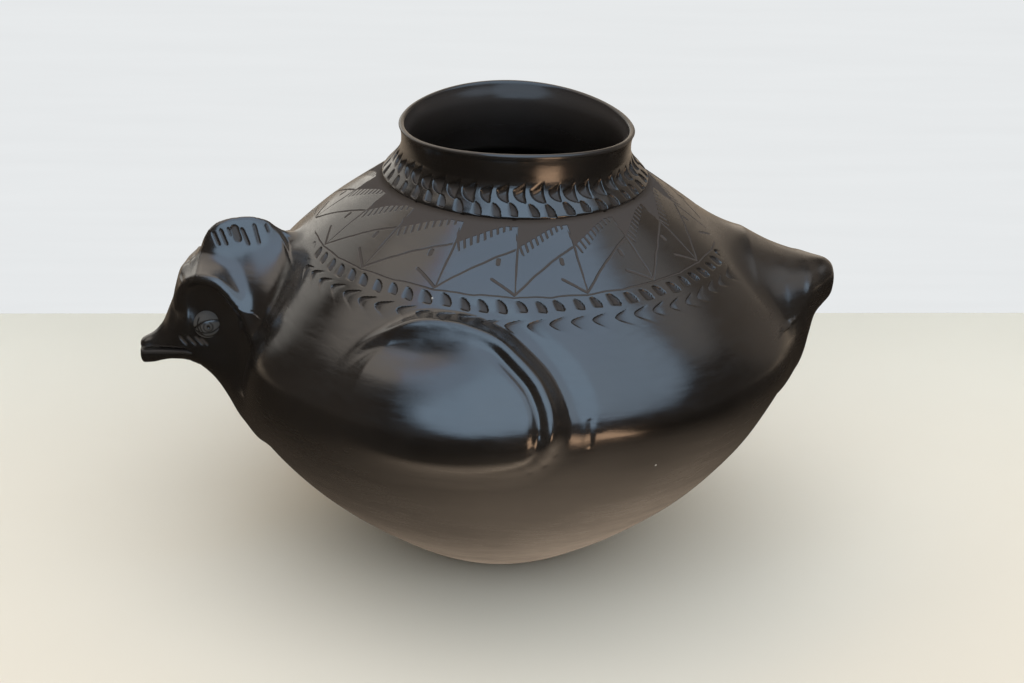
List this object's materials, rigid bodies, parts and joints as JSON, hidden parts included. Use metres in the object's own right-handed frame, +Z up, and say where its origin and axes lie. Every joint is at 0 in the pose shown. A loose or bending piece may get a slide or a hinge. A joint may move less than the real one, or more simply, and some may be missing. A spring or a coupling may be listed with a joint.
{
  "type": "bird effigy pot",
  "caption": "Round-bellied burnished black jar with a short oval neck, a crested bird's head, relief wings, a wedge tail, carved bands of crescent marks and incised triangles",
  "frame": {"origin": "centre of the flat base, on the axis that the base and the belly are turned round", "axes": "+Z up along the pot's axis; the beak points along -X and the tail along +X, so the bird's left wing is on -Y"},
  "size_m": [0.2915, 0.2538, 0.1858],
  "materials": {
    "burnished_clay": "stone-burnished, reduction-fired black",
    "carved_clay": "tooled, unburnished"
  },
  "bodies": {
    "root": {"base_bowl": "burnished_clay", "lower_belly": "burnished_clay", "middle_belly": "burnished_clay", "upper_belly": "burnished_clay", "shoulder": "burnished_clay", "neck": "burnished_clay", "head": "burnished_clay", "lower_bill": "burnished_clay", "comb": "burnished_clay", "brow_left": "burnished_clay", "brow_right": "burnished_clay", "eye_left": "carved_clay", "eye_right": "carved_clay", "wing_left": "burnished_clay", "wing_right": "burnished_clay", "tail": "burnished_clay"}
  },
  "joints": []
}
